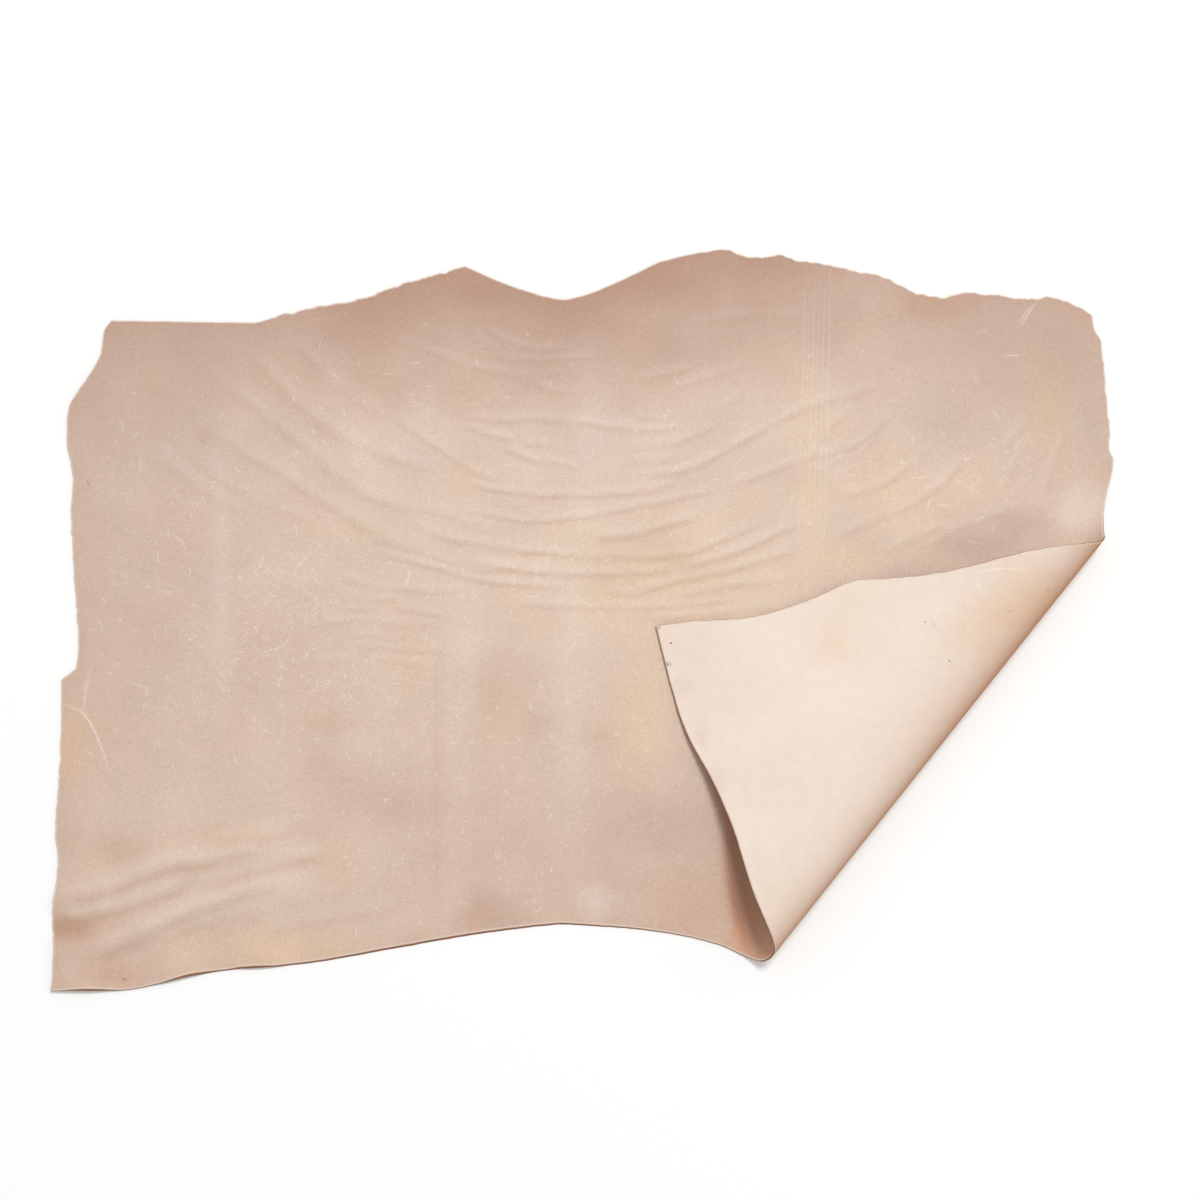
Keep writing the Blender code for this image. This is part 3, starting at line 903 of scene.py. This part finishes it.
def paint(colours, where, share, colour):
    """Draws some of the colours towards another by a share each."""
    share = np.clip(share, 0, 1)[:, None]
    colours[where] = colours[where] * (1 - share) + np.array(linear(colour)) * share


def paint_drifts(colours, flat, drifts):
    """Draws all the colours towards others by shares that drift slowly over the hide."""
    for colour, share, swing, wave, seed in drifts:
        share = share + swing * unevenness(flat, wave, seed)
        paint(colours, np.arange(len(flat)), share, colour)


def paint_tones(colours, flat, tones):
    """Paints broad soft patches that fade out to rims that wander."""
    for number, (colour, strength, middle, reach_x, reach_y) in enumerate(tones):
        away = np.hypot((flat[:, 0] - middle[0]) / reach_x, (flat[:, 1] - middle[1]) / reach_y)
        wave = TONE_WAVE_SHARE * min(reach_x, reach_y) + LEAST_TONE_WAVE
        away = away * (1 + TONE_WANDER * unevenness(flat, wave, TONE_SEED + number))
        paint(colours, np.arange(len(flat)), strength * (1 - smooth_step(away)), colour)


def paint_lines(colours, flat, lines):
    """Paints soft lines and bands that are fainter towards their ends."""
    for colour, strength, half_width, points in lines:
        line = curve_through(points, LINE_CELL) + [np.array(points[-1], float)]
        near = near_box(flat, line, 3 * half_width)
        aside, along = beside_line(flat[near], line)
        ends = LINE_END_SHARE + (1 - LINE_END_SHARE) * np.sin(math.pi * along)
        paint(colours, near, strength * ends * np.exp(-(aside / half_width) ** 2), colour)


def paint_spots(colours, flat, spots):
    """Paints small round spots with a soft rim."""
    for colour, strength, middle, radius in spots:
        away = np.linalg.norm(flat - np.array(middle), axis=1) / radius
        near = np.flatnonzero(away < 2)
        paint(colours, near, strength * (1 - smooth_step(away[near] - SPOT_CORE)), colour)


def far_margin(flat):
    """How dark the far margin is, 0 to 1: deep along its middle, narrow towards its ends."""
    aside, _ = beside_line(flat, corners_of(EDGE_STRETCHES[:4]))
    uneven = unevenness(flat, FAR_MARGIN_WAVE, FAR_MARGIN_SEED)
    depth = np.abs(aside) * (1 + FAR_MARGIN_WANDER * uneven)
    off_middle = np.abs(flat[:, 0] - FAR_MARGIN_MIDDLE)
    middle = smooth_step((FAR_MARGIN_HALF_LENGTH - off_middle) / FAR_MARGIN_TAPER)
    share = FAR_MARGIN_SHARE + FAR_MARGIN_MORE_AT_MIDDLE * middle
    broad = share * np.clip(1 - depth / FAR_MARGIN_WIDTH, 0, 1)
    return broad + RIM_SHARE * (1 - middle) * np.exp(-depth / RIM_WIDTH)


def near_margin(flat):
    """How dark the margin along the other edges is, 0 to 1."""
    aside, _ = beside_line(flat, corners_of(EDGE_STRETCHES[4:]))
    uneven = unevenness(flat, NEAR_MARGIN_WAVE, NEAR_MARGIN_SEED)
    fade = np.exp(-np.abs(aside) / NEAR_MARGIN_WIDTH)
    return NEAR_MARGIN_SHARE * fade * (NEAR_MARGIN_MEAN + NEAR_MARGIN_SWING * uneven)


def fold_shade(flat):
    """How much painted warm shade the grain takes inside the near end of the fold, 0 to 1."""
    along, past_lift = fold_places(flat)
    inside = smooth_step(past_lift / FOLD_SHADE_REACH + 1)
    return FOLD_SHADE_SHARE * inside * smooth_step(2 - 2 * along / FOLD_SHADE_LENGTH)


def grain_colours(flat, in_trough, on_swell, lines):
    """The grain's colour: broad tones, margins and marks, with painted shade and highlight on the
    wrinkles and painted shade by the fold.
    """
    everywhere = np.arange(len(flat))
    colours = np.tile(linear(HIDE_PINK), (len(flat), 1))
    paint_tones(colours, flat, GRAIN_TONES)
    paint_drifts(colours, flat, GRAIN_DRIFTS)
    paint(colours, everywhere, far_margin(flat), FAR_MARGIN)
    paint(colours, everywhere, near_margin(flat), NEAR_MARGIN)
    # Painted shade in the wrinkles' troughs and painted highlight on their swells.
    paint(colours, everywhere, TROUGH_SHADE * in_trough, WRINKLE_SHADE)
    paint(colours, everywhere, SWELL_HIGHLIGHT * on_swell, PALE_GRAIN_AND_HIGHLIGHT)
    # Pale and dark bands, and the painted shadow beside the flap's left edge.
    paint_lines(colours, flat, BANDS_AND_FLAP_SHADOW)
    paint_lines(colours, flat, lines)
    paint_spots(colours, flat, GRAIN_SPOTS)
    # Painted shade, warmed by bounced light, inside the near end of the fold.
    paint(colours, everywhere, fold_shade(flat), FOLD_SHADE)
    return colours


def flesh_colours(flat, spots):
    """The flesh side's colour: cream, painted shade where it bends over the nose, and its marks."""
    colours = np.tile(linear(FLESH_CREAM), (len(flat), 1))
    paint_drifts(colours, flat, FLESH_DRIFTS)
    paint_tones(colours, flat, FLESH_TONES)
    # Painted shade over the nose of the fold, as a tan band.
    along, past_lift = fold_places(flat)
    fade = NOSE_SHADE_FADE * (1 + NOSE_SHADE_WIDENING * smooth_step(along / NOSE_LENGTH))
    tan = NOSE_SHADE_SHARE * np.exp(-np.abs(past_lift - NOSE_SHADE_PEAK) / fade)
    paint(colours, np.arange(len(flat)), tan, NOSE_SHADE)
    paint_lines(colours, flat, FLESH_LINES)
    paint_spots(colours, flat, spots)
    return colours


def edge_rows(ring):
    """The rows of points across the cut edge: their flat places, height and colour."""
    inward = edge_inward(ring)
    slant = np.zeros(len(ring))
    for middle, reach, lean in EDGE_SLANTS:
        away = np.linalg.norm(ring - np.array(middle), axis=1)
        slant += lean * (1 - smooth_step(away / reach))
    rows = []
    for inset, off, colour in EDGE_ROWS:
        leaning = slant * off / THICKNESS + np.abs(slant) / 2
        rows.append((ring + inward * (inset + leaning)[:, None], off, colour))
    return rows


def edge_quads(count, grain_count, flesh_count):
    """Faces that join the rows of points across the cut edge, from the grain to the flesh side."""
    edge_start = grain_count + flesh_count
    inner_rows = range(len(EDGE_ROWS) - 2)
    starts = [0] + [edge_start + row * count for row in inner_rows] + [grain_count]
    quads = []
    for upper, lower in zip(starts, starts[1:]):
        for place in range(count):
            after = (place + 1) % count
            quads.append((upper + place, upper + after, lower + after, lower + place))
    return quads


def dress(mesh, flat, colours, face_counts):
    """Gives the sheet its colours, painted shade and light among them, its flat places as a UV map,
    and a material a side.
    """
    mesh.polygons.foreach_set("material_index", np.repeat((0, 1, 2), face_counts))
    corners = np.zeros(len(mesh.loops), int)
    mesh.loops.foreach_get("vertex_index", corners)
    mesh.uv_layers.new(name="flat").data.foreach_set("uv", (flat[corners] * MM).ravel())
    # These colours carry painted shade and highlight as well as the leather's own colour.
    vertex_colour = mesh.color_attributes.new("colour and painted light", "FLOAT_COLOR", "POINT")
    vertex_colour.data.foreach_set("color", np.column_stack([colours, np.ones(len(colours))]).ravel())
    for material in (grain_leather(), flesh_leather(), edge_leather()):
        mesh.materials.append(material)
    mesh.shade_smooth()


def build_hide():
    """The hide as one closed sheet: grain side, flesh side and the cut edge between them."""
    ring = cut_edge()
    rows = edge_rows(ring)
    grain_lines = list(GRAIN_LINES) + scratches()
    flesh_spots = list(FLESH_SPOTS) + pores()
    grain_flat, grain_faces = sheet_triangles(rows[0][0], grain_points(grain_lines))
    flesh_flat, flesh_faces = sheet_triangles(rows[-1][0], flesh_points(flesh_spots))
    height, in_trough, on_swell = wrinkle_relief(grain_flat)
    edge_flat = np.vstack([places for places, _, _ in rows[1:-1]])
    edge_off = np.concatenate([np.full(len(ring), off) for _, off, _ in rows[1:-1]])
    flat = np.vstack([grain_flat, flesh_flat, edge_flat])
    off_middle = np.concatenate([
        THICKNESS / 2 + height, np.full(len(flesh_flat), -THICKNESS / 2), edge_off])
    edge_colours = [np.tile(linear(colour), (len(ring), 1)) for _, _, colour in rows[1:-1]]
    colours = np.vstack([
        grain_colours(grain_flat, in_trough, on_swell, grain_lines),
        flesh_colours(flesh_flat, flesh_spots)] + edge_colours)
    edge_faces = edge_quads(len(ring), len(grain_flat), len(flesh_flat))
    flesh_faces = len(grain_flat) + flesh_faces[:, ::-1]
    mesh = bpy.data.meshes.new("tanned hide")
    mesh.from_pydata(
        (laid_surface(flat, off_middle) * MM).tolist(), [],
        grain_faces.tolist() + flesh_faces.tolist() + edge_faces)
    dress(mesh, flat, colours, (len(grain_faces), len(flesh_faces), len(edge_faces)))
    hide = bpy.data.objects.new("tanned_hide", mesh)
    bpy.context.scene.collection.objects.link(hide)
    return hide


def add_node(tree, kind, inputs=(), **settings):
    """Adds a node, sets it up and feeds its inputs from values or from other nodes' outputs."""
    node = tree.nodes.new("ShaderNode" + kind)
    for name, value in settings.items():
        setattr(node, name, value)
    for key, value in dict(inputs).items():
        if isinstance(value, bpy.types.NodeSocket):
            tree.links.new(value, node.inputs[key])
        else:
            node.inputs[key].default_value = value
    return node


def new_material(name):
    """A new material, its node tree and its shader."""
    material = bpy.data.materials.new(name)
    material.use_nodes = True
    return material, material.node_tree, material.node_tree.nodes["Principled BSDF"]


def tinted(tree, colour, amount, tones, span=(0.0, 1.0)):
    """A colour made darker or lighter, from one tone to another, as a value goes over a span."""
    share = add_node(tree, "MapRange", {
        "Value": amount, "From Min": span[0], "From Max": span[1],
        "To Min": tones[0], "To Max": tones[1]})
    return add_node(
        tree, "VectorMath", {0: colour, "Scale": share.outputs[0]}, operation="SCALE").outputs[0]


def patches(tree, flat, width, layers, strength):
    """Soft random patches about one width across, in millimetres, as a value from 0 to 1."""
    return add_node(tree, "TexNoise", {
        "Vector": flat, "Scale": 1 / (width * MM), "Detail": layers,
        "Roughness": strength}).outputs[0]


def roughen(tree, shader, height, depth, strength):
    """Gives a shader the fine relief of a pattern, as deep as this in millimetres."""
    bump = add_node(tree, "Bump", {"Height": height, "Distance": depth * MM, "Strength": strength})
    tree.links.new(bump.outputs[0], shader.inputs["Normal"])


def grain_leather():
    """Undyed vegetable-tanned grain.

    The eye gets a warm pinkish tan with no gloss, faintly waxy, clouded and mottled as a skin is,
    with a fine speckle of pores over it.
    """
    material, tree, shader = new_material("vegetable tanned grain")
    flat = add_node(tree, "UVMap", uv_map="flat").outputs[0]
    vertex_colour = add_node(tree, "VertexColor", layer_name="colour and painted light").outputs[0]
    mottle = patches(tree, flat, *MOTTLE)
    pores = patches(tree, flat, *PORES)
    colour = tinted(tree, vertex_colour, patches(tree, flat, *CLOUDS), CLOUD_TONES)
    colour = tinted(tree, colour, mottle, MOTTLE_TONES)
    colour = tinted(tree, colour, pores, PORE_TONES)
    colour = tinted(tree, colour, patches(tree, flat, *FLECKS), FLECK_TONES, FLECK_PEAKS)
    tree.links.new(colour, shader.inputs["Base Color"])
    height = add_node(
        tree, "Math", {0: pores, 1: PORES_IN_RELIEF, 2: mottle}, operation="MULTIPLY_ADD")
    roughen(tree, shader, height.outputs[0], *PORE_RELIEF)
    shader.inputs["Roughness"].default_value = GRAIN_ROUGHNESS
    return material


def flesh_leather():
    """The back of the hide, shaved and brushed.

    The eye gets a cream that is softer and paler than the grain, with a short nap and no shine.
    """
    material, tree, shader = new_material("brushed flesh side")
    flat = add_node(tree, "UVMap", uv_map="flat").outputs[0]
    vertex_colour = add_node(tree, "VertexColor", layer_name="colour and painted light").outputs[0]
    nap = patches(tree, flat, *NAP)
    colour = tinted(tree, vertex_colour, patches(tree, flat, *FLESH_MOTTLE), FLESH_MOTTLE_TONES)
    colour = tinted(tree, colour, nap, NAP_TONES)
    tree.links.new(colour, shader.inputs["Base Color"])
    roughen(tree, shader, nap, *NAP_RELIEF)
    shader.inputs["Roughness"].default_value = FLESH_ROUGHNESS
    return material


def edge_leather():
    """The raw cut edge, where the knife opened packed fibres.

    The eye gets a thin line, pale at both rims and darker and rougher between them, the pale partly
    a painted highlight and the dark partly painted shade.
    """
    material, tree, shader = new_material("raw cut leather edge")
    flat = add_node(tree, "UVMap", uv_map="flat").outputs[0]
    vertex_colour = add_node(tree, "VertexColor", layer_name="colour and painted light").outputs[0]
    fibres = patches(tree, flat, *FIBRES)
    colour = tinted(tree, vertex_colour, fibres, FIBRE_TONES)
    tree.links.new(colour, shader.inputs["Base Color"])
    roughen(tree, shader, fibres, *FIBRE_RELIEF)
    shader.inputs["Roughness"].default_value = EDGE_ROUGHNESS
    return material


def build_floor():
    """A plain pale floor, a hair under the hide."""
    mesh = bpy.data.meshes.new("floor")
    corners = ((-1, -1), (1, -1), (1, 1), (-1, 1))
    mesh.from_pydata(
        [(x * FLOOR_REACH * MM, y * FLOOR_REACH * MM, -FLOOR_DROP * MM) for x, y in corners],
        [], [(0, 1, 2, 3)])
    floor = bpy.data.objects.new("floor", mesh)
    bpy.context.scene.collection.objects.link(floor)
    material, _, shader = new_material("plain white floor")
    shader.inputs["Base Color"].default_value = (*linear(FLOOR_WHITE), 1)
    shader.inputs["Roughness"].default_value = FLOOR_ROUGHNESS
    shader.inputs["Specular IOR Level"].default_value = FLOOR_SHINE
    mesh.materials.append(material)


def add_lights():
    """Soft studio light: a pale room, and one large lamp up behind the far edge."""
    world = bpy.data.worlds.new("pale room")
    world.use_nodes = True
    room = world.node_tree.nodes["Background"]
    room.inputs["Color"].default_value = (1.0, 1.0, 1.0, 1)
    room.inputs["Strength"].default_value = ROOM_LIGHT
    bpy.context.scene.world = world
    lamp = bpy.data.lights.new("key", "AREA")
    lamp.shape = "DISK"
    lamp.size = LAMP_WIDTH
    lamp.energy = LAMP_POWER
    key = bpy.data.objects.new("key", lamp)
    key.location = (
        LAMP_DISTANCE * math.cos(LAMP_ELEVATION) * math.sin(LAMP_BEARING),
        LAMP_DISTANCE * math.cos(LAMP_ELEVATION) * math.cos(LAMP_BEARING),
        LAMP_DISTANCE * math.sin(LAMP_ELEVATION))
    key.rotation_mode = "QUATERNION"
    key.rotation_quaternion = (-key.location).to_track_quat("-Z", "Y")
    bpy.context.scene.collection.objects.link(key)


def add_camera():
    """The photo's camera: high on the near side, and looking down at the hide."""
    camera = bpy.data.objects.new("camera", bpy.data.cameras.new("camera"))
    camera.data.lens = CAMERA_LENS
    camera.data.sensor_width = CAMERA_SENSOR
    aim = Vector(CAMERA_AIM) * MM
    back = Vector((0, -math.cos(CAMERA_ELEVATION), math.sin(CAMERA_ELEVATION)))
    camera.location = aim + back * CAMERA_DISTANCE * MM
    camera.rotation_mode = "QUATERNION"
    camera.rotation_quaternion = (-back).to_track_quat("-Z", "Y")
    bpy.context.scene.collection.objects.link(camera)
    bpy.context.scene.camera = camera


add_camera()
add_lights()
build_floor()
bpy.context.scene.view_settings.view_transform = "Standard"

hide = build_hide()
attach(hide, "root")
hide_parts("hide")
